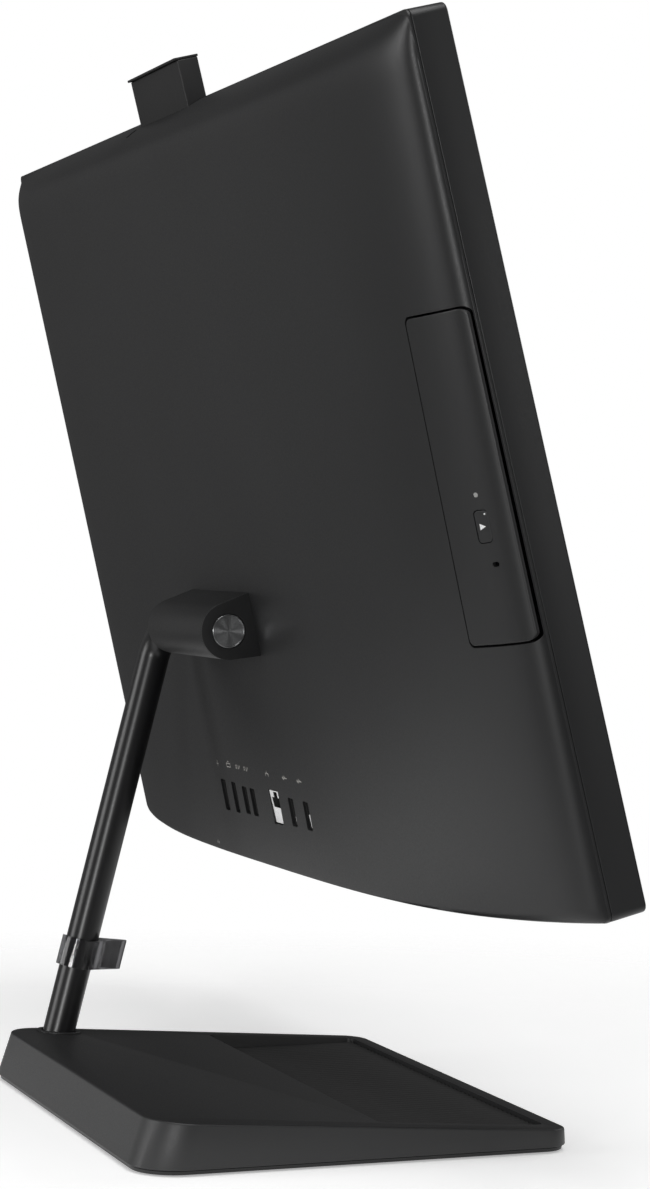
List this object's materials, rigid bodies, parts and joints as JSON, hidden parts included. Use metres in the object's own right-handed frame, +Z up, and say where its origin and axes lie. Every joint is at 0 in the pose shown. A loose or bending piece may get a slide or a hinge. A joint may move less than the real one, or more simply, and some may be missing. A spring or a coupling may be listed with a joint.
{
  "type": "all-in-one desktop computer",
  "caption": "All-in-one desktop computer: curved-back display head tilting on a slim bent tube, wedge base with phone tray, pop-up camera, side disc drive, rear sockets and a cable clip.",
  "frame": {"origin": "on the desk, under the middle of the head's width and the middle of the base's depth", "axes": "+X along the screen's width, to the right of someone facing the screen; +Y from the screen towards the back; +Z up"},
  "size_m": [0.614, 0.1994, 0.499],
  "materials": {
    "cover_plastic": "fine grained matt black",
    "frame_plastic": "fine grained matt black",
    "base_plastic": "satin black",
    "hinge_plastic": "matt black",
    "trim_plastic": "matt black",
    "inner_plastic": "satin black",
    "grille_fabric": "woven, dark grey",
    "screen_gloss": "dark anti-reflective panel",
    "lens_gloss": "polished black",
    "clip_smoke": "smoky translucent",
    "tube_gloss": "gloss black",
    "cap_metal": "dark spun metal",
    "port_metal": "bright plated",
    "steel": "zinc plated sheet",
    "iron": "rough cast",
    "alloy": "milled",
    "copper": "bare copper",
    "circuit_board": "green solder mask",
    "pad_rubber": "soft matt"
  },
  "bodies": {
    "stand": {"base_shell": "base_plastic", "base_bottom_plate": "trim_plastic", "base_weight": "iron", "tray_mat": "pad_rubber", "foot_front_left": "pad_rubber", "foot_front_right": "pad_rubber", "foot_back_left": "pad_rubber", "foot_back_right": "pad_rubber", "column_tube": "tube_gloss", "column_collar": "base_plastic", "column_bolt": "steel", "hinge_shaft": "steel"},
    "clip": {"cable_clip": "clip_smoke"},
    "head": {"rear_cover": "cover_plastic", "mid_frame": "frame_plastic", "lcd_panel": "screen_gloss", "speaker_bar": "grille_fabric", "chassis_plate": "steel", "motherboard": "circuit_board", "cpu_heatsink": "alloy", "heat_pipe": "copper", "fin_stack": "alloy", "ssd_card": "circuit_board", "ram_module_1": "circuit_board", "ram_module_2": "circuit_board", "wifi_card": "circuit_board", "hard_drive": "alloy", "coin_cell": "steel", "speaker_left": "inner_plastic", "speaker_right": "inner_plastic", "port_dc_in": "port_metal", "port_hdmi": "port_metal", "port_usb3_a": "port_metal", "port_usb3_b": "port_metal", "port_ethernet": "port_metal", "port_usb2_a": "port_metal", "port_usb2_b": "port_metal", "blower_housing": "inner_plastic", "odd_case": "steel", "camera_guide": "steel", "hinge_block": "hinge_plastic", "hinge_cap": "cap_metal", "hinge_bracket": "steel", "hinge_screw_1": "steel", "hinge_screw_2": "steel", "hinge_screw_3": "steel", "hinge_screw_4": "steel"},
    "fan": {"blower_impeller": "inner_plastic"},
    "camera": {"camera_housing": "trim_plastic", "camera_cap": "trim_plastic", "camera_lens": "lens_gloss"},
    "drive_tray": {"odd_tray": "inner_plastic", "odd_bezel": "cover_plastic"},
    "eject": {"eject_button": "cover_plastic"},
    "spindle": {"disc_spindle": "steel"},
    "sled": {"laser_sled": "steel"},
    "power": {"power_button": "trim_plastic"}
  },
  "joints": [
    {"name": "head_tilt", "type": "hinge", "parent": "stand", "child": "head", "pos_m": [0, 0.01489, 0.22638], "axis": [1, 0, 0], "range_deg": [-5.7, 19.3]},
    {"name": "camera_slide", "type": "slide", "parent": "head", "child": "camera", "axis": [0, 0.247, 0.969], "range_m": [-0.0188, 0]},
    {"name": "tray_slide", "type": "slide", "parent": "head", "child": "drive_tray", "axis": [-1, 0, 0], "range_m": [0, 0.118]},
    {"name": "eject_press", "type": "slide", "parent": "drive_tray", "child": "eject", "axis": [0, -0.969, 0.247], "range_m": [0, 0.0008], "stiffness_N_per_m": 800},
    {"name": "spindle_spin", "type": "hinge", "parent": "drive_tray", "child": "spindle", "pos_m": [-0.214, -0.01045, 0.29599], "axis": [0, 0.969, -0.247], "continuous": true},
    {"name": "sled_slide", "type": "slide", "parent": "drive_tray", "child": "sled", "axis": [1, 0, 0], "range_m": [0, 0.032]},
    {"name": "fan_spin", "type": "hinge", "parent": "head", "child": "fan", "pos_m": [0.176, 0.01561, 0.39822], "axis": [0, 0.969, -0.247], "continuous": true},
    {"name": "power_press", "type": "slide", "parent": "head", "child": "power", "axis": [0, 0.247, 0.969], "range_m": [0, 0.0008], "stiffness_N_per_m": 800},
    {"name": "clip_slide", "type": "slide", "parent": "stand", "child": "clip", "axis": [0, -0.247, 0.969], "range_m": [-0.02, 0.07]}
  ]
}
